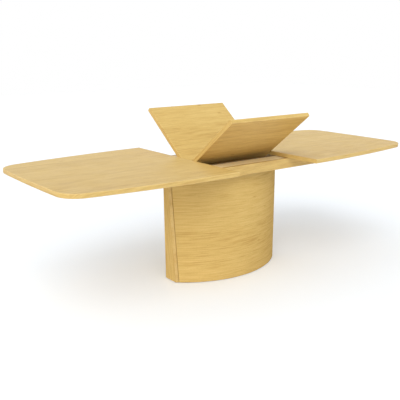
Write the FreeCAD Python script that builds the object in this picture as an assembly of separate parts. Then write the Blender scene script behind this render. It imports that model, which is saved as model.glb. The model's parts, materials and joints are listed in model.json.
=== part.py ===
import FreeCAD, Part
import math
import os

os.makedirs("parts", exist_ok=True)
Vector = FreeCAD.Vector

# Frame: X along the table, Y away from the viewer, Z up, floor at zero, pedestal centred on the origin.

# Table top
table_height = 755.0
top_thickness = 25.0
top_width = 1020.0
half_length = 986.0
side_arc_radius = 5800.0
end_arc_radius = 9000.0
top_corner_radius = 124.0
edge_round = 4.0
end_edge_round = 0.8

# Folding leaf
leaf_length = 602.0
leaf_end_gap = 1.0
fold_gap = 0.3
fold_edge_round = 0.4
leaf_open_angle = 38.5

# Pivot of the rear leaf panel
pivot_from_fold = 52.0
pivot_below_panel = 34.0
pin_diameter = 8.0
pin_running_gap = 0.05
pin_end_gap = 1.0
pin_head_diameter = 15.0
pin_head_height = 4.0
strap_thickness = 4.0
strap_reach = 44.0
strap_width = 40.0
strap_end_setback = 3.0
arm_web = 6.0
arm_root_reach = 36.0
arm_eye_radius = 12.0

# Flap hinges set flush in the folding edges: a slotted link joins one pin in each panel
hinge_spacing = 220.0
hinge_leaf_length = 26.0
hinge_leaf_width = 24.0
hinge_leaf_thickness = 10.0
link_thickness = 6.0
link_eye_radius = 2.5
link_gap = 0.3
fold_pin_inset = 3.0
fold_pin_diameter = 2.4
fold_pin_length = 20.0

# Fixed frame below the tops: deck boards round the leaf well, between two aprons
deck_thickness = 18.0
deck_end_width = 258.0
deck_half_width = 267.0
well_end_room = 23.0
well_half_width = 140.0
apron_height = 62.0
apron_thickness = 20.0
apron_edge_round = 2.0
felt_thickness = 2.7
felt_width = 14.0
felt_edge_gap = 2.0
felt_end_gap = 6.0
slide_clearance = 0.3

# Runners, guides and blocks
runner_width = 26.0
runner_height = 22.0
runner_wall = 2.0
runner_tip_setback = 282.0
runner_stop_travel = 15.0
lane_gap = 2.0
guide_wall = 2.7
guide_top_wall = 3.7
guide_length = 90.0
guide_setback = 20.0
inner_guide_start = 75.0
block_length = 110.0
end_cap_thickness = 4.0
end_cap_lip = 1.6
end_cap_plug = 12.0
end_cap_gap = 0.1
glide_pad_length = 70.0
glide_pad_width = 50.0
glide_pad_setback = 25.0
glide_pad_inset = 32.0
glide_pad_round = 6.0

# Pedestal
pedestal_end_room = 85.0
shell_front = 209.0
shell_thickness = 18.0
plank_foot_width = 104.0
end_lean = 33.0
end_plank_thickness = 14.0
plank_edge_round = 2.5
seam_width = 3.0
seam_depth = 5.0
pad_height = 4.0
pad_diameter = 30.0
pad_end_inset = 77.0
pad_side_place = 190.0
pad_shell_inset = 42.0
floor_thickness = 22.0
bulkhead_thickness = 18.0
bearer_width = 20.0
bearer_end_setback = 27.5
cross_bearer_end_gap = 10.0

# Leaf tracks inside the well
track_thickness = 6.0
track_slot_offset = 18.0
track_side_margin = 8.0
track_top_margin = 8.0
track_seat_depth = 8.0
track_foot_margin = 20.0
track_head_reach = 13.0
leaf_stow_room = 34.0

# Screws and bolts
screw_diameter = 4.0
screw_head_diameter = 8.0
screw_head_height = 2.5
screw_depth = 14.0
strap_screw_side = 9.0
strap_screw_inset = 8.0
track_screw_foot_inset = 45.0
track_screw_head_inset = 76.0
track_screw_count = 3
bolt_diameter = 6.0
bolt_head_diameter = 13.0
bolt_head_height = 4.0
bolt_depth = 40.0
bolt_end_inset = 30.0

# Limits for matching edges by place and direction
match_distance = 0.03
match_angle = 1.0

# Levels and places that follow from the sizes above
top_under = table_height - top_thickness
deck_top = top_under - slide_clearance - felt_thickness
deck_under = deck_top - deck_thickness
leaf_half = leaf_length / 2.0
half_inner = leaf_half + leaf_end_gap
half_width = top_width / 2.0
pivot_height = top_under - pivot_below_panel
well_half_length = leaf_half + well_end_room
deck_half_length = well_half_length + deck_end_width
apron_under = deck_top - apron_height
deck_edge = deck_half_width - apron_thickness
guide_reach = runner_width / 2.0 + slide_clearance + guide_wall
near_lane = well_half_width + bearer_width + lane_gap + guide_reach
far_lane = near_lane + 2.0 * guide_reach + lane_gap
runner_top = deck_under - guide_top_wall - slide_clearance
runner_under = runner_top - runner_height
runner_inner_end = inner_guide_start + guide_length + runner_stop_travel
runner_outer_end = half_inner + half_length - runner_tip_setback
pedestal_top = runner_under - slide_clearance - guide_wall - lane_gap
pedestal_height = pedestal_top - pad_height
foot_half_length = well_half_length + pedestal_end_room
shell_bulge = shell_front - plank_foot_width / 2.0
shell_radius = (foot_half_length ** 2 + shell_bulge ** 2) / (2.0 * shell_bulge)
shell_axis = shell_radius - shell_front
track_slot_bottom = deck_top - (half_width - pivot_from_fold) - leaf_stow_room


def box(x_range, y_range, z_range):
    size_x = x_range[1] - x_range[0]
    size_y = y_range[1] - y_range[0]
    size_z = z_range[1] - z_range[0]
    return Part.makeBox(size_x, size_y, size_z, Vector(x_range[0], y_range[0], z_range[0]))


def rod(diameter, length, start, direction):
    return Part.makeCylinder(diameter / 2.0, length, start, direction)


def mirror_x(shape):
    return shape.mirror(Vector(0, 0, 0), Vector(1, 0, 0))


def mirror_y(shape):
    return shape.mirror(Vector(0, 0, 0), Vector(0, 1, 0))


def save(shape, name):
    shape.exportStep("parts/" + name + ".step")


def round_edges(shape, radius, wanted):
    edges = [edge for edge in shape.Edges if wanted(edge)]
    return shape.makeFillet(radius, edges)


def along(edge, axis):
    first = edge.Vertexes[0].Point
    last = edge.Vertexes[-1].Point
    step = last - first
    if step.Length < match_distance:
        return False
    return abs(step.normalize().dot(axis)) > math.cos(math.radians(match_angle))


def near(value, target):
    return abs(value - target) < match_distance


# Tops: one boat-shaped half, its mirror is the other half.

def arc_edge(centre, radius, first, last):
    middle = (first - centre).normalize() + (last - centre).normalize()
    return Part.Arc(first, centre + middle.normalize() * radius, last).toShape()


def corner_centre(side_centre, end_centre):
    side_reach = side_arc_radius - top_corner_radius
    end_reach = end_arc_radius - top_corner_radius
    across = end_centre - side_centre
    distance = across.Length
    share = (side_reach ** 2 - end_reach ** 2 + distance ** 2) / (2.0 * distance)
    height = math.sqrt(side_reach ** 2 - share ** 2)
    unit = across.normalize()
    normal = Vector(-unit.y, unit.x, 0)
    first = side_centre + unit * share + normal * height
    second = side_centre + unit * share - normal * height
    return first if first.x > second.x else second


def flip(point):
    return Vector(point.x, -point.y, point.z)


def half_top():
    tip = half_inner + half_length
    side_centre = Vector(half_inner, half_width - side_arc_radius, top_under)
    end_centre = Vector(tip - end_arc_radius, 0, top_under)
    corner = corner_centre(side_centre, end_centre)
    side_end = side_centre + (corner - side_centre).normalize() * side_arc_radius
    end_start = end_centre + (corner - end_centre).normalize() * end_arc_radius
    start = Vector(half_inner, half_width, top_under)
    edges = [
        arc_edge(side_centre, side_arc_radius, start, side_end),
        arc_edge(corner, top_corner_radius, side_end, end_start),
        arc_edge(end_centre, end_arc_radius, end_start, flip(end_start)),
        arc_edge(flip(corner), top_corner_radius, flip(end_start), flip(side_end)),
        arc_edge(flip(side_centre), side_arc_radius, flip(side_end), flip(start)),
        Part.makeLine(flip(start), start),
    ]
    face = Part.Face(Part.Wire(edges))
    slab = face.extrude(Vector(0, 0, top_thickness))

    def outer_rim(edge):
        level = edge.BoundBox.ZLength < match_distance
        return level and edge.BoundBox.XMax > half_inner + match_distance

    def inner_end(edge):
        return edge.BoundBox.XMax < half_inner + match_distance

    slab = round_edges(slab, edge_round, outer_rim)
    return round_edges(slab, end_edge_round, inner_end)


right_top = half_top()
left_top = mirror_x(right_top)

# Leaf panels, built flat and turned into the open V at the end.

pivot_axis = Vector(0, pivot_from_fold, pivot_height)
along_x = Vector(1, 0, 0)
along_y = Vector(0, 1, 0)
along_z = Vector(0, 0, 1)


def leaf_panel():
    panel = box((-leaf_half, leaf_half), (fold_gap / 2.0, half_width), (top_under, table_height))

    def outer_edge(edge):
        return along(edge, along_x) and near(edge.BoundBox.YMin, half_width)

    def fold_edge(edge):
        upper = near(edge.BoundBox.ZMin, table_height)
        return upper and along(edge, along_x) and near(edge.BoundBox.YMin, fold_gap / 2.0)

    def leaf_end(edge):
        middle = edge.BoundBox.Center
        return near(abs(middle.x), leaf_half) and middle.y > fold_gap

    panel = round_edges(panel, edge_round, outer_edge)
    panel = round_edges(panel, end_edge_round, leaf_end)
    return round_edges(panel, fold_edge_round, fold_edge)


hinge_places = (-hinge_spacing, 0.0, hinge_spacing)
fold_axis = Vector(0, 0, table_height)
fold_pin_place = Vector(0, fold_gap / 2.0 + fold_pin_inset, table_height - fold_pin_inset)

# The two pins of a hinge are nearest with the leaf flat, and furthest apart level with the fold.
nearest_pins = 2.0 * fold_pin_place.y
furthest_pins = 2.0 * (fold_pin_place - fold_axis).Length
link_tail = furthest_pins + link_gap + link_eye_radius - fold_pin_place.y


def hinge_leaf(x, notch_depth):
    sides = (x - hinge_leaf_width / 2.0, x + hinge_leaf_width / 2.0)
    depth = (fold_gap / 2.0, fold_gap / 2.0 + hinge_leaf_length)
    leaf = box(sides, depth, (table_height - hinge_leaf_thickness, table_height))

    def fold_corner(edge):
        upper = near(edge.BoundBox.ZMin, table_height)
        return upper and along(edge, along_x) and near(edge.BoundBox.YMin, depth[0])

    leaf = round_edges(leaf, fold_edge_round, fold_corner)
    reach = link_thickness / 2.0 + link_gap
    notch = box((x - reach, x + reach), (0.0, notch_depth), (table_height - notch_depth, table_height))
    return leaf.cut(notch).cut(fold_pin(x))


def fold_pin(x):
    start = fold_pin_place + Vector(x - fold_pin_length / 2.0, 0, 0)
    return rod(fold_pin_diameter, fold_pin_length, start, along_x)


def link_slab(x, first, last, radius):
    start = Vector(x - link_thickness / 2.0, fold_pin_place.y, fold_pin_place.z)
    first_end = start - along_y * first
    last_end = start - along_y * last
    middle = box(
        (start.x, start.x + link_thickness),
        (last_end.y, first_end.y),
        (start.z - radius, start.z + radius),
    )
    slab = middle.fuse(rod(2.0 * radius, link_thickness, first_end, along_x))
    return slab.fuse(rod(2.0 * radius, link_thickness, last_end, along_x)).removeSplitter()


def fold_link(x):
    bore_radius = fold_pin_diameter / 2.0 + pin_running_gap
    start = fold_pin_place + Vector(x - link_thickness / 2.0, 0, 0)
    bore = rod(2.0 * bore_radius, link_thickness, start, along_x)
    slot = link_slab(x, nearest_pins - link_gap, furthest_pins + link_gap, bore_radius)
    return link_slab(x, 0.0, furthest_pins + link_gap, link_eye_radius).cut(bore).cut(slot)


def hinge_pocket(x):
    sides = (x - hinge_leaf_width / 2.0, x + hinge_leaf_width / 2.0)
    depth = (0.0, fold_gap / 2.0 + hinge_leaf_length)
    return box(sides, depth, (table_height - hinge_leaf_thickness, table_height))


strap_outer = leaf_half - strap_end_setback
strap_inner = strap_outer - strap_width
pin_end = well_half_length - pin_end_gap


def swing_arm():
    plate_under = top_under - strap_thickness
    y_range = (pivot_from_fold - strap_reach, pivot_from_fold + strap_reach)
    plate = box((strap_inner, strap_outer), y_range, (plate_under, top_under))
    web_start = strap_outer - arm_web
    corners = [
        Vector(web_start, pivot_from_fold - arm_root_reach, plate_under),
        Vector(web_start, pivot_from_fold + arm_root_reach, plate_under),
        Vector(web_start, pivot_from_fold + arm_eye_radius, pivot_height),
        Vector(web_start, pivot_from_fold - arm_eye_radius, pivot_height),
    ]
    web = Part.Face(Part.makePolygon(corners + [corners[0]])).extrude(Vector(arm_web, 0, 0))
    eye = rod(2.0 * arm_eye_radius, arm_web, Vector(web_start, pivot_from_fold, pivot_height), along_x)
    return plate.fuse(web).fuse(eye).removeSplitter()


def pivot_pin():
    start = Vector(strap_outer - arm_web, pivot_from_fold, pivot_height)
    head = rod(pin_head_diameter, pin_head_height, start, -along_x)
    shank = rod(pin_diameter, pin_end - start.x, start, along_x)
    return head.fuse(shank).removeSplitter()


def strap_screws():
    middle = (strap_inner + strap_outer - arm_web) / 2.0
    reach = strap_reach - strap_screw_inset
    under = top_under - strap_thickness
    screws = []
    for x in (middle - strap_screw_side, middle + strap_screw_side):
        for y in (pivot_from_fold - reach, pivot_from_fold + reach):
            head = rod(screw_head_diameter, screw_head_height, Vector(x, y, under), -along_z)
            shank = rod(screw_diameter, strap_thickness + screw_depth, Vector(x, y, under), along_z)
            screws.append(head.fuse(shank).removeSplitter())
    return screws


rear_notch_depth = fold_pin_place.y + link_eye_radius + link_gap
rear_hinge_leaves = [hinge_leaf(x, rear_notch_depth) for x in hinge_places]
front_hinge_leaves = [mirror_y(hinge_leaf(x, link_tail + link_gap)) for x in hinge_places]
rear_fold_pins = [fold_pin(x) for x in hinge_places]
front_fold_pins = [mirror_y(pin) for pin in rear_fold_pins]
fold_links = [fold_link(x) for x in hinge_places]
right_screws = strap_screws()
left_screws = [mirror_x(screw) for screw in right_screws]
right_pin = pivot_pin()
left_pin = mirror_x(right_pin)
right_arm = swing_arm().cut(Part.makeCompound(right_screws + [right_pin]))
left_arm = mirror_x(right_arm)
plain_panel = leaf_panel().cut(Part.makeCompound([hinge_pocket(x) for x in hinge_places]))
rear_leaf = plain_panel.cut(Part.makeCompound(right_screws + left_screws))
front_leaf = mirror_y(plain_panel)


def swing_rear(shape):
    turned = shape.copy()
    turned.rotate(pivot_axis, along_x, leaf_open_angle)
    return turned


def swing_shift(place):
    point = Part.Vertex(place)
    point.rotate(pivot_axis, along_x, leaf_open_angle)
    return point.Point - place


def carry_links(shape):
    moved = shape.copy()
    moved.translate(swing_shift(fold_pin_place))
    return moved


def swing_front(shape):
    turned = shape.copy()
    turned.rotate(fold_axis, along_x, -leaf_open_angle)
    turned.translate(swing_shift(fold_axis))
    return turned


# Pedestal: two bent shells between leaning end planks, on one lens-shaped plan.

def lens(radius, z_range):
    height = z_range[1] - z_range[0]
    front = Part.makeCylinder(radius, height, Vector(0, shell_axis, z_range[0]))
    rear = Part.makeCylinder(radius, height, Vector(0, -shell_axis, z_range[0]))
    return front.common(rear)


def end_face_at(z, inset):
    return foot_half_length + end_lean * (z - pad_height) / pedestal_height - inset


def prism_from_side(points, y_range):
    corners = [Vector(x, y_range[0], z) for x, z in points]
    outline = Part.makePolygon(corners + [corners[0]])
    return Part.Face(outline).extrude(Vector(0, y_range[1] - y_range[0], 0))


def leaning_slab(inner_inset, outer_inset):
    points = [
        (end_face_at(pad_height, inner_inset), pad_height),
        (end_face_at(pad_height, outer_inset), pad_height),
        (end_face_at(pedestal_top, outer_inset), pedestal_top),
        (end_face_at(pedestal_top, inner_inset), pedestal_top),
    ]
    return prism_from_side(points, (-shell_front, shell_front))


def between_planks(y_range):
    foot = end_face_at(pad_height, end_plank_thickness)
    head = end_face_at(pedestal_top, end_plank_thickness)
    points = [(-foot, pad_height), (foot, pad_height), (head, pedestal_top), (-head, pedestal_top)]
    return prism_from_side(points, y_range)


pedestal_levels = (pad_height, pedestal_top)
lens_outside = lens(shell_radius, pedestal_levels)
lens_inside = lens(shell_radius - shell_thickness, pedestal_levels)


def shell():
    wall = lens_outside.cut(lens_inside).common(between_planks((-shell_front, 0.0)))
    skin = lens_outside.cut(lens(shell_radius - seam_depth, pedestal_levels))
    seam = skin.common(leaning_slab(end_plank_thickness + seam_width, end_plank_thickness))
    return wall.cut(seam).cut(mirror_x(seam))


def end_plank():
    plank = lens_outside.common(leaning_slab(end_plank_thickness, 0.0))

    def outer_upright(edge):
        foot_x = edge.BoundBox.XMin
        tall = edge.BoundBox.ZLength > pedestal_height / 2.0
        return tall and foot_x > end_face_at(pad_height, end_plank_thickness / 2.0)

    return round_edges(plank, plank_edge_round, outer_upright)


front_shell = shell()
rear_shell = mirror_y(front_shell)
right_plank = end_plank()
left_plank = mirror_x(right_plank)
floor_top = pad_height + floor_thickness
floor_sides = (-foot_half_length, foot_half_length)
floor_levels = box(floor_sides, (-shell_front, shell_front), (pad_height, floor_top))
pedestal_floor = lens_inside.common(between_planks((-shell_front, shell_front))).common(floor_levels)


def shell_face_at(x, radius):
    return math.sqrt(radius ** 2 - x ** 2) - shell_axis


def pad_reach_at(x):
    return shell_face_at(x, shell_radius - shell_thickness) - pad_shell_inset


def floor_pads():
    places = []
    for side in (-1.0, 1.0):
        places.append((side * (foot_half_length - pad_end_inset), 0.0))
        places.append((0.0, side * pad_reach_at(0.0)))
        places.append((side * pad_side_place, pad_reach_at(pad_side_place)))
        places.append((side * pad_side_place, -pad_reach_at(pad_side_place)))
    return [rod(pad_diameter, pad_height, Vector(x, y, 0), along_z) for x, y in places]


bulkhead_sides = (well_half_length, well_half_length + bulkhead_thickness)
bulkhead_block = box(bulkhead_sides, (-shell_front, shell_front), (floor_top, pedestal_top))
right_bulkhead = lens_inside.common(bulkhead_block)

# Bearers carry the deck clear of the runners.

bearer_half_length = math.sqrt(shell_radius ** 2 - (shell_axis + well_half_width) ** 2) - bearer_end_setback
cross_bearer_half_length = well_half_width - cross_bearer_end_gap
front_bearer = box(
    (-bearer_half_length, bearer_half_length),
    (-well_half_width - bearer_width, -well_half_width),
    (pedestal_top, deck_under),
)
rear_bearer = mirror_y(front_bearer)
right_cross_bearer = box(
    (well_half_length, well_half_length + bearer_width),
    (-cross_bearer_half_length, cross_bearer_half_length),
    (pedestal_top, deck_under),
)

# Deck boards round the leaf well, and the aprons along them.

front_deck = box(
    (-deck_half_length, deck_half_length),
    (-deck_edge, -well_half_width),
    (deck_under, deck_top),
)
rear_deck = mirror_y(front_deck)
right_deck = box(
    (well_half_length, deck_half_length),
    (-well_half_width, well_half_width),
    (deck_under, deck_top),
)

front_apron = box(
    (-deck_half_length, deck_half_length),
    (-deck_half_width, -deck_edge),
    (apron_under, deck_top),
)


def apron_outer_edge(edge):
    return near(edge.BoundBox.YMax, -deck_half_width)


front_apron = round_edges(front_apron, apron_edge_round, apron_outer_edge)
rear_apron = mirror_y(front_apron)

# The open leaf lies on felt strips along the well.

felt_half_length = well_half_length - felt_end_gap
felt_edge = well_half_width + felt_edge_gap
front_felt = box(
    (-felt_half_length, felt_half_length),
    (-felt_edge - felt_width, -felt_edge),
    (deck_top, deck_top + felt_thickness),
)
rear_felt = mirror_y(front_felt)


def glide_pad():
    x_end = deck_half_length - glide_pad_setback
    y_end = deck_half_width - glide_pad_inset
    pad = box(
        (x_end - glide_pad_length, x_end),
        (y_end - glide_pad_width, y_end),
        (deck_top, top_under - slide_clearance),
    )
    return round_edges(pad, glide_pad_round, lambda edge: along(edge, along_z))


# Runners of the left half use the near lane, those of the right half the far lane.

def tube(x_range, lane):
    reach = runner_width / 2.0
    outside = box(x_range, (lane - reach, lane + reach), (runner_under, runner_top))
    inside = box(
        x_range,
        (lane - reach + runner_wall, lane + reach - runner_wall),
        (runner_under + runner_wall, runner_top - runner_wall),
    )
    return outside.cut(inside)


def guide(x_start, lane):
    x_range = (x_start, x_start + guide_length)
    bore = runner_width / 2.0 + slide_clearance
    outside = box(
        x_range,
        (lane - guide_reach, lane + guide_reach),
        (runner_under - slide_clearance - guide_wall, deck_under),
    )
    bore_levels = (runner_under - slide_clearance, runner_top + slide_clearance)
    inside = box(x_range, (lane - bore, lane + bore), bore_levels)
    return outside.cut(inside)


def runner_block(lane):
    reach = runner_width / 2.0
    x_range = (runner_outer_end - block_length, runner_outer_end)
    return box(x_range, (lane - reach, lane + reach), (runner_top, top_under))


def end_cap(lane):
    reach = runner_width / 2.0
    flange = box(
        (-runner_inner_end - end_cap_thickness, -runner_inner_end),
        (lane - reach - end_cap_lip, lane + reach + end_cap_lip),
        (runner_under - end_cap_lip, runner_top + end_cap_lip),
    )
    inset = runner_wall + end_cap_gap
    plug = box(
        (-runner_inner_end, -runner_inner_end + end_cap_plug),
        (lane - reach + inset, lane + reach - inset),
        (runner_under + inset, runner_top - inset),
    )
    return flange.fuse(plug).removeSplitter()


def guides_for(lane):
    outer_guide_start = deck_half_length - guide_setback - guide_length
    return [guide(outer_guide_start, lane), guide(-inner_guide_start - guide_length, lane)]


right_runner_rear = tube((-runner_inner_end, runner_outer_end), far_lane)
left_runner_rear = mirror_x(tube((-runner_inner_end, runner_outer_end), near_lane))
right_block_rear = runner_block(far_lane)
left_block_rear = mirror_x(runner_block(near_lane))
right_cap_rear = end_cap(far_lane)
left_cap_rear = mirror_x(end_cap(near_lane))
right_guides_rear = guides_for(far_lane)
left_guides_rear = [mirror_x(shape) for shape in guides_for(near_lane)]

# Leaf tracks: a plate at each end of the well with a hooked slot for the pivot pin.

slot_lane = pivot_from_fold + track_slot_offset
slot_reach = pin_diameter / 2.0 + pin_running_gap
crossing_height = pivot_height + track_seat_depth
track_plane = (well_half_length - track_thickness, well_half_length)


def slot_leg(first, last):
    y_low = min(first[0], last[0])
    y_high = max(first[0], last[0])
    z_low = min(first[1], last[1])
    z_high = max(first[1], last[1])
    if y_low == y_high:
        leg = box(track_plane, (y_low - slot_reach, y_high + slot_reach), (z_low, z_high))
    else:
        leg = box(track_plane, (y_low, y_high), (z_low - slot_reach, z_high + slot_reach))
    for y, z in (first, last):
        leg = leg.fuse(rod(2.0 * slot_reach, track_thickness, Vector(track_plane[0], y, z), along_x))
    return leg


def track():
    column_low = slot_lane - slot_reach - track_side_margin
    column_high = slot_lane + slot_reach + track_side_margin
    track_top = crossing_height + slot_reach + track_top_margin
    column = box(track_plane, (column_low, column_high), (track_slot_bottom - track_foot_margin, track_top))
    head_low = pivot_height - track_head_reach
    head = box(track_plane, (pivot_from_fold - track_head_reach, column_high), (head_low, track_top))
    plate = column.fuse(head).removeSplitter()
    turn = (slot_lane, crossing_height)
    seat_top = (pivot_from_fold, crossing_height)
    slot = slot_leg((slot_lane, track_slot_bottom), turn)
    slot = slot.fuse(slot_leg(turn, seat_top))
    slot = slot.fuse(slot_leg(seat_top, (pivot_from_fold, pivot_height)))
    return plate.cut(slot)


def track_screws():
    screws = []
    lane = slot_lane - slot_reach - track_side_margin / 2.0
    first = track_slot_bottom + track_screw_foot_inset
    last = pivot_height - track_screw_head_inset
    for index in range(track_screw_count):
        level = first + (last - first) * index / (track_screw_count - 1)
        place = Vector(track_plane[0], lane, level)
        head = rod(screw_head_diameter, screw_head_height, place, -along_x)
        shank = rod(screw_diameter, track_thickness + screw_depth, place, along_x)
        screws.append(head.fuse(shank).removeSplitter())
    return screws


right_track_screws = track_screws()
right_track = track().cut(Part.makeCompound(right_track_screws))
right_bulkhead = right_bulkhead.cut(Part.makeCompound(right_track_screws))

# Bolts hold the end boards of the deck to the cross bearers, their heads let in flush.

def deck_bolts():
    bolts = []
    bolt_reach = cross_bearer_half_length - bolt_end_inset
    for y in (-bolt_reach, bolt_reach):
        place = Vector(well_half_length + bearer_width / 2.0, y, deck_top - bolt_head_height)
        head = rod(bolt_head_diameter, bolt_head_height, place, along_z)
        shank = rod(bolt_diameter, bolt_depth, place, -along_z)
        bolts.append(head.fuse(shank).removeSplitter())
    return bolts


right_bolts = deck_bolts()
right_deck = right_deck.cut(Part.makeCompound(right_bolts))
right_cross_bearer = right_cross_bearer.cut(Part.makeCompound(right_bolts))

# Every piece is written to its own file, identical fasteners as one group.

save(left_top, "left_top")
save(right_top, "right_top")
save(swing_rear(rear_leaf), "rear_leaf_panel")
save(swing_front(front_leaf), "front_leaf_panel")
save(swing_rear(Part.makeCompound(rear_hinge_leaves)), "rear_hinge_leaves")
save(swing_front(Part.makeCompound(front_hinge_leaves)), "front_hinge_leaves")
save(carry_links(Part.makeCompound(fold_links)), "fold_links")
save(swing_rear(Part.makeCompound(rear_fold_pins)), "rear_fold_pins")
save(swing_front(Part.makeCompound(front_fold_pins)), "front_fold_pins")
save(swing_rear(left_arm), "left_swing_arm")
save(swing_rear(right_arm), "right_swing_arm")
save(swing_rear(left_pin), "left_pivot_pin")
save(swing_rear(right_pin), "right_pivot_pin")
save(swing_rear(Part.makeCompound(left_screws + right_screws)), "strap_screws")

save(front_shell, "front_shell")
save(rear_shell, "rear_shell")
save(left_plank, "left_end_plank")
save(right_plank, "right_end_plank")
save(pedestal_floor, "pedestal_floor")
save(Part.makeCompound(floor_pads()), "floor_pads")
save(mirror_x(right_bulkhead), "left_bulkhead")
save(right_bulkhead, "right_bulkhead")
save(front_bearer, "front_bearer")
save(rear_bearer, "rear_bearer")
save(mirror_x(right_cross_bearer), "left_cross_bearer")
save(right_cross_bearer, "right_cross_bearer")

save(front_deck, "front_deck_board")
save(rear_deck, "rear_deck_board")
save(mirror_x(right_deck), "left_deck_board")
save(right_deck, "right_deck_board")
save(front_apron, "front_apron")
save(rear_apron, "rear_apron")
save(front_felt, "front_leaf_felt")
save(rear_felt, "rear_leaf_felt")
save(Part.makeCompound([mirror_x(bolt) for bolt in right_bolts] + right_bolts), "deck_bolts")

right_rear_glide = glide_pad()
save(mirror_x(mirror_y(right_rear_glide)), "left_front_glide_pad")
save(mirror_x(right_rear_glide), "left_rear_glide_pad")
save(mirror_y(right_rear_glide), "right_front_glide_pad")
save(right_rear_glide, "right_rear_glide_pad")

save(mirror_y(left_runner_rear), "left_front_runner")
save(left_runner_rear, "left_rear_runner")
save(mirror_y(right_runner_rear), "right_front_runner")
save(right_runner_rear, "right_rear_runner")
save(mirror_y(left_block_rear), "left_front_runner_block")
save(left_block_rear, "left_rear_runner_block")
save(mirror_y(right_block_rear), "right_front_runner_block")
save(right_block_rear, "right_rear_runner_block")
save(Part.makeCompound([left_cap_rear, mirror_y(left_cap_rear)]), "left_runner_caps")
save(Part.makeCompound([right_cap_rear, mirror_y(right_cap_rear)]), "right_runner_caps")
save(Part.makeCompound([mirror_y(shape) for shape in left_guides_rear]), "left_front_runner_guides")
save(Part.makeCompound(left_guides_rear), "left_rear_runner_guides")
save(Part.makeCompound([mirror_y(shape) for shape in right_guides_rear]), "right_front_runner_guides")
save(Part.makeCompound(right_guides_rear), "right_rear_runner_guides")

save(mirror_x(right_track), "left_leaf_track")
save(right_track, "right_leaf_track")
left_track_screws = [mirror_x(screw) for screw in right_track_screws]
save(Part.makeCompound(left_track_screws + right_track_screws), "track_screws")
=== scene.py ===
import json
import math

import bpy
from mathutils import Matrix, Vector

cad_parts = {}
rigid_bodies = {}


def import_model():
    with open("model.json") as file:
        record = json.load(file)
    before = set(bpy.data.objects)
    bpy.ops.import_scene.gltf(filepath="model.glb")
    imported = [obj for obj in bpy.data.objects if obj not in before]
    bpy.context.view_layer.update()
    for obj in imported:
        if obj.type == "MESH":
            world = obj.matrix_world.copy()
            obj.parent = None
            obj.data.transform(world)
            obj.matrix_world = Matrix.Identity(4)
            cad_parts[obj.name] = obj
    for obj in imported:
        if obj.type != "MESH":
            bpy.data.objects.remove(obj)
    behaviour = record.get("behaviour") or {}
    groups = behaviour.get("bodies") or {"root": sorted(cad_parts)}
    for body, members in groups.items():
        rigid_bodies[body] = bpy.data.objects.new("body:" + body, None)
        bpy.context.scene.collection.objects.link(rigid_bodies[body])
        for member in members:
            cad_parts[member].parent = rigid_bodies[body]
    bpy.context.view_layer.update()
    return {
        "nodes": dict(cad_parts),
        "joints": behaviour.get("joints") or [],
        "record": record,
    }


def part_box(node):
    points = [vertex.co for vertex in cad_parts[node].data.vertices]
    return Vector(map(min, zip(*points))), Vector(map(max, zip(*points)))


for leftover in list(bpy.data.objects):
    bpy.data.objects.remove(leftover)
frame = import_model()
joints = {joint["name"]: joint for joint in frame["joints"]}

# Places read from the frame: the table's level, the fold of the leaf and how far its panels stand open.
axis_x = Vector((1, 0, 0))
axis_y = Vector((0, 1, 0))
axis_z = Vector((0, 0, 1))
ground = Vector((0, 0, 0))
table_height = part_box("left_top")[1].z
table_origin = Vector((0, 0, table_height))
fold_place = Vector(joints["front_leaf_fold"]["pos_m"])
leaf_tilt = -math.radians(joints["rear_leaf_swing"]["range_deg"][0])
rear_slope = Vector((0, math.cos(leaf_tilt), math.sin(leaf_tilt)))
rear_normal = Vector((0, -math.sin(leaf_tilt), math.cos(leaf_tilt)))
front_slope = Vector((0, math.cos(leaf_tilt), -math.sin(leaf_tilt)))
front_normal = Vector((0, math.sin(leaf_tilt), math.cos(leaf_tilt)))

# Camera, solved from the outline of the table
camera_place = Vector((-2.4423, -2.9503, 1.4239))
camera_yaw = math.radians(37.47)
camera_pitch = math.radians(14.26)
camera_lens = 55.46
camera_sensor = 36.0

# Floor: its reach from the middle, the hair's breadth that it lies under the feet, and its whites
floor_reach = 14.0
floor_drop = 0.0003
floor_white = (0.95, 0.95, 0.95, 1.0)
floor_white_seen = (0.81, 0.85, 0.89, 1.0)
floor_glow = 0.14

# Figure of the veneer: sizes in metres, and rates in repeats to a metre along and across the grain
strip_stagger = 17.0
heart_bend_rate = 0.8
heart_depth_least = 0.02
heart_depth_spread = 0.06
ring_width = 0.0085
ring_wobble = 0.006
ring_wobble_rates = (6.0, 45.0)
band_rates = (2.4, 30.0)
line_rates = (7.0, 110.0)
streak_rates = (12.0, 420.0)
pore_rates = (65.0, 1700.0)
knot_rates = (2.6, 9.0)

# Shares: a knot's radius in the cell that it lies in, and the slant of the figure on end faces
knot_radius = 0.07
edge_slant = 0.2

# Finish of the wood: how much of the paler edge colour (wear and painted highlight) and of the streaks'
# relief shows, and what dulls the gloss
rubbed_and_highlight_share = 0.4
streak_relief = 0.35
smudge_gloss = 0.14
pore_gloss = 0.12

# Cosines of the angle between a surface's normal and an axis: past the first it is an end face, below the
# second it is a back face, which takes the painted shade of the back tint.
end_face_cosine = 0.72
back_face_cosine = -0.5

# Brush marks of bare metal, in repeats to a metre along each axis
brush_rates = (60.0, 1500.0, 1500.0)


def linear(red, green, blue):
    """A colour written in screen values from 0 to 255, as the linear values that shaders use."""
    def channel(value):
        share = value / 255
        return share / 12.92 if share <= 0.04045 else ((share + 0.055) / 1.055) ** 2.4
    return (channel(red), channel(green), channel(blue), 1.0)


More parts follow.
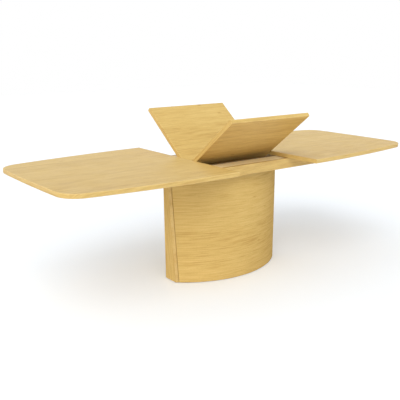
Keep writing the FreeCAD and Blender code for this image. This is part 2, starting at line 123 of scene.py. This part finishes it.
class Shader:
    """The node tree of a material or of the world, with a short call for each kind of node used here."""

    def __init__(self, owner, output_kind):
        owner.use_nodes = True
        self.owner = owner
        self.tree = owner.node_tree
        self.tree.nodes.clear()
        self.output = self.node(output_kind)

    def node(self, kind, **settings):
        made = self.tree.nodes.new(kind)
        for key, value in settings.items():
            setattr(made, key, value)
        return made

    def feed(self, socket, value):
        """Link a socket to another node's output, or set it to a plain value."""
        if isinstance(value, bpy.types.NodeSocket):
            self.tree.links.new(value, socket)
        else:
            socket.default_value = value

    def math(self, operation, first, second=0.0, clamp=False):
        made = self.node("ShaderNodeMath", operation=operation, use_clamp=clamp)
        self.feed(made.inputs[0], first)
        self.feed(made.inputs[1], second)
        return made.outputs[0]

    def plus(self, first, second):
        return self.math("ADD", first, second)

    def minus(self, first, second):
        return self.math("SUBTRACT", first, second)

    def times(self, first, second):
        return self.math("MULTIPLY", first, second)

    def larger(self, first, second):
        return self.math("MAXIMUM", first, second)

    def vector_math(self, operation, first, second):
        made = self.node("ShaderNodeVectorMath", operation=operation)
        self.feed(made.inputs[0], first)
        self.feed(made.inputs[1], second)
        return made.outputs

    def dot(self, vector, axis):
        return self.vector_math("DOT_PRODUCT", vector, axis)["Value"]

    def shifted(self, vector, offset):
        return self.vector_math("SUBTRACT", vector, offset)["Vector"]

    def scaled(self, vector, factors):
        return self.vector_math("MULTIPLY", vector, factors)["Vector"]

    def vector(self, x, y, z=0.0):
        made = self.node("ShaderNodeCombineXYZ")
        for socket, value in zip(made.inputs, (x, y, z)):
            self.feed(socket, value)
        return made.outputs[0]

    def stretched(self, along, across, rates, layer=0.0):
        """The place in a pattern that repeats at its own rate along and across the grain."""
        along_rate, across_rate = rates
        return self.vector(self.times(along, along_rate), self.times(across, across_rate), layer)

    def split(self, colour):
        made = self.node("ShaderNodeSeparateColor")
        self.feed(made.inputs[0], colour)
        return made.outputs

    def blend(self, share, first, second):
        """A mix of two numbers."""
        made = self.node("ShaderNodeMix", data_type="FLOAT")
        for index, value in ((0, share), (2, first), (3, second)):
            self.feed(made.inputs[index], value)
        return made.outputs[0]

    def tint(self, share, first, second, mode="MIX"):
        """A mix of two colours."""
        made = self.node("ShaderNodeMix", data_type="RGBA", blend_type=mode)
        for index, value in ((0, share), (6, first), (7, second)):
            self.feed(made.inputs[index], value)
        return made.outputs[2]

    def step(self, value, start, end):
        """A smooth step from 0 where the value is at the start to 1 where it is at the end."""
        made = self.node("ShaderNodeMapRange", interpolation_type="SMOOTHSTEP")
        self.feed(made.inputs["Value"], value)
        made.inputs["From Min"].default_value = start
        made.inputs["From Max"].default_value = end
        return made.outputs[0]

    def noise(self, vector, detail=2.0, roughness=0.5, scale=1.0):
        made = self.node("ShaderNodeTexNoise")
        self.feed(made.inputs["Vector"], vector)
        made.inputs["Scale"].default_value = scale
        made.inputs["Detail"].default_value = detail
        made.inputs["Roughness"].default_value = roughness
        return made.outputs["Fac"]

    def ramp(self, share, stops):
        made = self.node("ShaderNodeValToRGB")
        self.feed(made.inputs[0], share)
        points = made.color_ramp.elements
        while len(points) < len(stops):
            points.new(0.5)
        for point, (place, colour) in zip(points, stops):
            point.position = place
            point.color = colour
        return made.outputs[0]

    def bump(self, height, strength, distance):
        made = self.node("ShaderNodeBump")
        made.inputs["Strength"].default_value = strength
        made.inputs["Distance"].default_value = distance
        self.feed(made.inputs["Height"], height)
        return made.outputs[0]

    def surface(self, **values):
        """The surface itself, with a value for each named socket, and the material that it finishes."""
        made = self.node("ShaderNodeBsdfPrincipled")
        for key, value in values.items():
            self.feed(made.inputs[key.replace("_", " ")], value)
        self.feed(self.output.inputs["Surface"], made.outputs[0])
        return self.owner

    def place(self):
        return self.node("ShaderNodeTexCoord").outputs["Object"]

    def facing(self, axis):
        return self.dot(self.node("ShaderNodeTexCoord").outputs["Normal"], axis)


def material_shader(name):
    return Shader(bpy.data.materials.new(name), "ShaderNodeOutputMaterial")


# Wood. A look holds the colours of one timber, the width of its strips of veneer in metres, and how
# strongly each figure of the grain shows. Back shade and end are tints of painted shade, which leave the
# colour as it is at 1; the worn-and-highlight colour pales rounded edges as wear and painted highlight.

untinted = (1.0, 1.0, 1.0, 1.0)
oak_look = {
    "dark": linear(170, 130, 66),
    "middle": linear(206, 175, 105),
    "light": linear(222, 195, 128),
    "pore": linear(138, 98, 48),
    # Paler colour of rounded edges: partly wear, partly painted highlight.
    "worn_and_highlight": linear(232, 210, 156),
    # Painted shade: back faces, the undersides, are tinted darker and redder for the warm shade of light
    # bounced off the wood.
    "back_shade": (1.0, 0.93, 0.85, 1.0),
    # Painted shade: end faces are tinted darker to tone down the light they catch.
    "end": (0.93, 0.91, 0.88, 1.0),
    "strip_width": 0.165,
    "strip": 0.12,
    "band": 0.56,
    "line": 0.75,
    "ring": 0.1,
    "streak": 0.5,
    "knot": 0.5,
    "pores": 0.45,
}
pedestal_look = dict(
    oak_look,
    middle=linear(204, 173, 106),
    light=linear(220, 193, 129),
    back_shade=untinted,
    end=untinted,
    band=0.4,
    knot=0.3,
)
# Painted light: the deck's colours are paler than its oak, to make up for the shade it lies in under the
# leaf.
deck_lightened_look = dict(
    oak_look,
    dark=linear(218, 197, 150),
    middle=linear(239, 223, 181),
    light=linear(246, 233, 199),
    band=0.4,
    line=0.4,
    streak=0.3,
    knot=0.0,
    pores=0.25,
)
ply_look = dict(
    pedestal_look,
    dark=linear(190, 158, 114),
    middle=linear(214, 187, 145),
    light=linear(228, 204, 166),
    knot=0.0,
)


def growth_rings(shader, run, across, aside, strip):
    """Late wood of the rings round a heart that lies aside of this place and at a changing depth under it."""
    bend = shader.noise(shader.vector(shader.times(run, heart_bend_rate), strip), detail=1.0)
    depth = shader.plus(heart_depth_least, shader.times(bend, heart_depth_spread))
    square = shader.plus(shader.math("POWER", aside, 2.0), shader.math("POWER", depth, 2.0))
    wobble = shader.noise(shader.stretched(run, across, ring_wobble_rates))
    radius = shader.plus(shader.math("SQRT", square), shader.times(wobble, ring_wobble))
    ring = shader.math("FRACT", shader.math("DIVIDE", radius, ring_width))
    return shader.times(shader.step(ring, start=0.3, end=0.85), shader.step(ring, start=1.0, end=0.9))


def knots(shader, run, across):
    """Small dark knots, in about a tenth of the cells of a stretched pattern."""
    cells = shader.node("ShaderNodeTexVoronoi", voronoi_dimensions="2D")
    cells.inputs["Scale"].default_value = 1.0
    shader.feed(cells.inputs["Vector"], shader.stretched(run, across, knot_rates))
    chance = shader.split(cells.outputs["Color"])[0]
    chosen = shader.step(chance, start=0.88, end=0.92)
    return shader.times(shader.step(cells.outputs["Distance"], start=knot_radius, end=0.0), chosen)


def grain(shader, look, along, across):
    """Colour, height and pores of flat-sawn veneer laid in strips, at a place along and across the grain."""
    strip_place = shader.math("DIVIDE", across, look["strip_width"])
    strip = shader.math("FLOOR", strip_place)
    random = shader.node("ShaderNodeTexWhiteNoise", noise_dimensions="1D")
    shader.feed(random.inputs["W"], strip)
    strip_tone, shift, heart = shader.split(random.outputs["Color"])
    run = shader.plus(along, shader.times(shift, strip_stagger))
    aside = shader.times(shader.minus(shader.math("FRACT", strip_place), heart), look["strip_width"])

    late = growth_rings(shader, run, across, aside, strip)
    knot = knots(shader, run, across)
    band = shader.noise(shader.stretched(run, across, band_rates, strip), detail=3.0, roughness=0.55)
    line = shader.noise(shader.stretched(run, across, line_rates, strip), detail=2.0, roughness=0.6)
    streak = shader.noise(shader.stretched(run, across, streak_rates, strip), detail=3.0, roughness=0.6)
    dash = shader.noise(shader.stretched(run, across, pore_rates, strip), detail=1.0)
    pores = shader.times(shader.step(dash, start=0.58, end=0.72), shader.minus(1.0, late))

    tone = 0.0
    for value, middle, share in (
        (band, 0.5, look["band"]),
        (late, 0.35, -look["ring"]),
        (line, 0.5, look["line"]),
        (streak, 0.5, look["streak"]),
        (strip_tone, 0.5, look["strip"]),
        (knot, 0.0, -look["knot"]),
    ):
        tone = shader.plus(tone, shader.times(shader.minus(value, middle), share))
    tone = shader.math("ADD", tone, 0.5, clamp=True)
    colour = shader.ramp(tone, ((0.0, look["dark"]), (0.5, look["middle"]), (1.0, look["light"])))
    colour = shader.tint(shader.times(pores, look["pores"]), colour, look["pore"])
    height = shader.minus(shader.times(streak, streak_relief), pores)
    return colour, height, pores


def timber(name, look, origin, along, across, through, gloss, rough=0.38, depth_share=0.8, worn_and_highlight=None):
    """Wood whose grain runs along one axis, and along the edge on the end faces that cut that axis.

    The look's tints paint shade: a darker one on end faces, and a darker, redder one on the back, which is
    turned away from the through axis. Rounded edges are painted paler, as wear and painted highlight, where
    the surface turns away from the worn_and_highlight axis or else the through axis.
    The depth share carries the figure through the thickness, so that long edges show grain too.
    """
    shader = material_shader(name)
    place = shader.shifted(shader.place(), origin)
    down_grain = shader.dot(place, along)
    over_grain = shader.dot(place, across)
    in_depth = shader.dot(place, through)
    cut = shader.math("ABSOLUTE", shader.facing(along))
    end_face = shader.math("GREATER_THAN", cut, end_face_cosine)
    face_across = shader.plus(over_grain, shader.times(in_depth, depth_share))
    edge_across = shader.plus(in_depth, shader.times(down_grain, edge_slant))
    run = shader.blend(end_face, down_grain, over_grain)
    side = shader.blend(end_face, face_across, edge_across)
    colour, height, pores = grain(shader, look, run, side)

    # Painted shade: faces turned away from the through axis are tinted darker and redder.
    shaded_back = shader.math("LESS_THAN", shader.facing(through), back_face_cosine)
    colour = shader.tint(shaded_back, colour, look["back_shade"], "MULTIPLY")
    # Painted shade: end faces are darkened by the end tint.
    colour = shader.tint(shader.step(cut, start=0.55, end=0.95), colour, look["end"], "MULTIPLY")
    # Rounded edges are paled in patches: partly wear, partly painted highlight.
    turned = shader.math("ABSOLUTE", shader.facing(worn_and_highlight or through))
    edge = shader.times(shader.step(turned, start=0.1, end=0.35), shader.step(turned, start=0.98, end=0.88))
    patches = shader.noise(place, detail=3.0, roughness=0.6, scale=38.0)
    rubbed_and_highlight = shader.times(edge, shader.step(patches, start=0.1, end=0.9))
    colour = shader.tint(shader.times(rubbed_and_highlight, rubbed_and_highlight_share), colour, look["worn_and_highlight"])

    smudge = shader.noise(place, scale=9.0)
    uneven = shader.plus(shader.times(smudge, smudge_gloss), shader.times(pores, pore_gloss))
    return shader.surface(
        Base_Color=colour,
        Roughness=shader.plus(uneven, rough),
        Normal=shader.bump(height, strength=0.25, distance=0.0003),
        Specular_IOR_Level=gloss,
    )


oak_flat = timber("oak_along_table", oak_look, table_origin, axis_x, axis_y, axis_z, gloss=0.36)
oak_rear_leaf = timber("oak_rear_leaf", oak_look, fold_place, axis_x, rear_slope, rear_normal, gloss=0.2)
oak_front_leaf = timber("oak_front_leaf", oak_look, fold_place, axis_x, front_slope, front_normal, gloss=0.2)
oak_round = timber(
    "oak_round_pedestal", pedestal_look, ground, axis_x, axis_z, axis_y,
    gloss=0.01, rough=0.75, depth_share=0.0, worn_and_highlight=axis_z,
)
oak_upright = timber("oak_upright", pedestal_look, ground, axis_z, axis_y, axis_x, gloss=0.05, rough=0.5)
# The deck's paleness is painted light for the shade under the leaf.
deck_painted_light = timber("oak_deck_painted_light", deck_lightened_look, table_origin, axis_x, axis_y, axis_z, gloss=0.12)
birch_ply = timber("birch_plywood", ply_look, ground, axis_x, axis_y, axis_z, gloss=0.3)


# Metal, nylon and felt

def coated_steel():
    shader = material_shader("black_powder_coat")
    place = shader.place()
    speckle = shader.noise(place, roughness=0.6, scale=1400.0)
    cloud = shader.noise(place, scale=14.0)
    return shader.surface(
        Base_Color=shader.tint(cloud, linear(30, 30, 32), linear(44, 44, 46)),
        Roughness=shader.plus(0.42, shader.times(cloud, 0.18)),
        Normal=shader.bump(speckle, strength=0.3, distance=0.0002),
    )


def metal(name, pale, deep, roughness):
    """Bare metal with brush marks along the table and a faint stain."""
    shader = material_shader(name)
    place = shader.place()
    brushed = shader.noise(shader.scaled(place, brush_rates))
    stain = shader.noise(place, detail=3.0, roughness=0.6, scale=70.0)
    return shader.surface(
        Base_Color=shader.tint(shader.times(stain, brushed), pale, deep),
        Metallic=1.0,
        Roughness=shader.plus(roughness, shader.times(brushed, 0.2)),
        Normal=shader.bump(brushed, strength=0.15, distance=0.0001),
    )


def moulded_nylon():
    shader = material_shader("black_nylon")
    place = shader.place()
    pitted = shader.noise(place, detail=3.0, roughness=0.6, scale=900.0)
    cloud = shader.noise(place, scale=30.0)
    return shader.surface(
        Base_Color=shader.tint(cloud, linear(38, 38, 38), linear(52, 52, 51)),
        Roughness=shader.plus(0.5, shader.times(pitted, 0.15)),
        Normal=shader.bump(pitted, strength=0.2, distance=0.0002),
    )


def wool_felt():
    shader = material_shader("brown_felt")
    place = shader.place()
    fibre = shader.noise(place, detail=4.0, roughness=0.7, scale=1100.0)
    cloud = shader.noise(place, scale=60.0)
    colour = shader.tint(fibre, linear(112, 92, 66), linear(142, 118, 86))
    return shader.surface(
        Base_Color=shader.tint(shader.times(cloud, 0.4), colour, linear(98, 80, 58)),
        Roughness=0.95,
        Normal=shader.bump(fibre, strength=0.6, distance=0.0008),
        Specular_IOR_Level=0.1,
    )


zinc = metal("zinc_plated_steel", pale=linear(196, 196, 198), deep=linear(150, 150, 154), roughness=0.28)
brass = metal("satin_brass", pale=linear(206, 172, 98), deep=linear(160, 122, 58), roughness=0.26)

# Each piece takes the material of its slot in the record, apart from those that have one of their own.
slot_materials = {
    "oak_top": oak_flat,
    "oak_deck": deck_painted_light,
    "oak_shell": oak_round,
    "oak_plank": oak_upright,
    "inner_wood": birch_ply,
    "steel": coated_steel(),
    "bright_steel": zinc,
    "brass": brass,
    "nylon": moulded_nylon(),
    "felt": wool_felt(),
}
node_materials = {
    "rear_leaf_panel": oak_rear_leaf,
    "front_leaf_panel": oak_front_leaf,
    "front_apron": oak_flat,
    "rear_apron": oak_flat,
}
slot_of = {part["node"]: part["material_slot"] for part in frame["record"]["subparts"]}
for name, node in frame["nodes"].items():
    node.data.materials.clear()
    node.data.materials.append(node_materials.get(name, slot_materials[slot_of[name]]))


# Floor, light and camera

def direct_ray(shader):
    """1 for rays that show a thing to the camera, straight, mirrored or through glass, and otherwise 0."""
    path = shader.node("ShaderNodeLightPath")
    ray = shader.larger(path.outputs["Is Camera Ray"], path.outputs["Is Glossy Ray"])
    return shader.larger(ray, path.outputs["Is Transmission Ray"])


def pale_floor():
    """Plain white floor. Seen directly it is lifted to the white of the background and keeps the shadow."""
    shader = material_shader("pale_floor")
    plain = shader.node("ShaderNodeBsdfDiffuse")
    plain.inputs["Color"].default_value = floor_white
    seen = shader.node("ShaderNodeBsdfDiffuse")
    seen.inputs["Color"].default_value = floor_white_seen
    glow = shader.node("ShaderNodeEmission")
    glow.inputs["Strength"].default_value = floor_glow
    lifted = shader.node("ShaderNodeAddShader")
    shader.feed(lifted.inputs[0], seen.outputs[0])
    shader.feed(lifted.inputs[1], glow.outputs[0])
    choice = shader.node("ShaderNodeMixShader")
    shader.feed(choice.inputs[0], direct_ray(shader))
    shader.feed(choice.inputs[1], plain.outputs[0])
    shader.feed(choice.inputs[2], lifted.outputs[0])
    shader.feed(shader.output.inputs["Surface"], choice.outputs[0])
    return shader.owner


def add_floor():
    mesh = bpy.data.meshes.new("floor")
    corners = [(x * floor_reach, y * floor_reach, 0) for x, y in ((-1, -1), (1, -1), (1, 1), (-1, 1))]
    mesh.from_pydata(corners, [], [(0, 1, 2, 3)])
    floor = bpy.data.objects.new("floor", mesh)
    floor.location.z = -floor_drop
    bpy.context.scene.collection.objects.link(floor)
    mesh.materials.append(pale_floor())


def add_world(overhead, around, lean):
    """Pale studio walls, darker low down and towards the lean. Seen directly they are plain white."""
    world = bpy.data.worlds.new("studio")
    bpy.context.scene.world = world
    shader = Shader(world, "ShaderNodeOutputWorld")
    sky = shader.node("ShaderNodeBackground")
    sky.inputs["Color"].default_value = (1.0, 1.0, 1.0, 1.0)
    towards = shader.node("ShaderNodeTexCoord").outputs["Generated"]
    height = shader.step(shader.dot(towards, axis_z), start=0.1, end=0.7)
    level = shader.blend(height, around, overhead)
    level = shader.times(level, shader.minus(1.0, shader.dot(towards, lean)))
    shader.feed(sky.inputs["Strength"], shader.blend(direct_ray(shader), level, 1.0))
    shader.feed(shader.output.inputs["Surface"], sky.outputs[0])


def add_sun(name, azimuth, elevation, spread, level):
    """A broad light from this many degrees left of the front and above the floor."""
    lamp = bpy.data.lights.new(name, "SUN")
    lamp.angle = math.radians(spread)
    lamp.energy = level
    made = bpy.data.objects.new(name, lamp)
    turn = math.radians(azimuth)
    rise = math.radians(elevation)
    towards = Vector((-math.sin(turn) * math.cos(rise), -math.cos(turn) * math.cos(rise), math.sin(rise)))
    made.rotation_mode = "QUATERNION"
    made.rotation_quaternion = (-towards).to_track_quat("-Z", "Y")
    bpy.context.scene.collection.objects.link(made)


def add_camera():
    lens = bpy.data.cameras.new("camera")
    lens.lens = camera_lens
    lens.sensor_width = camera_sensor
    made = bpy.data.objects.new("camera", lens)
    made.location = camera_place
    made.rotation_mode = "QUATERNION"
    level = math.cos(camera_pitch)
    ahead = Vector((math.sin(camera_yaw) * level, math.cos(camera_yaw) * level, -math.sin(camera_pitch)))
    made.rotation_quaternion = ahead.to_track_quat("-Z", "Y")
    bpy.context.scene.collection.objects.link(made)
    bpy.context.scene.camera = made


add_floor()
add_world(overhead=0.88, around=0.76, lean=Vector((0.95, 0.15, 0.0)))
add_sun("key", azimuth=42.0, elevation=44.0, spread=46.0, level=1.12)
add_sun("fill", azimuth=40.0, elevation=12.0, spread=60.0, level=0.3)
add_camera()
bpy.context.scene.view_settings.view_transform = "Standard"
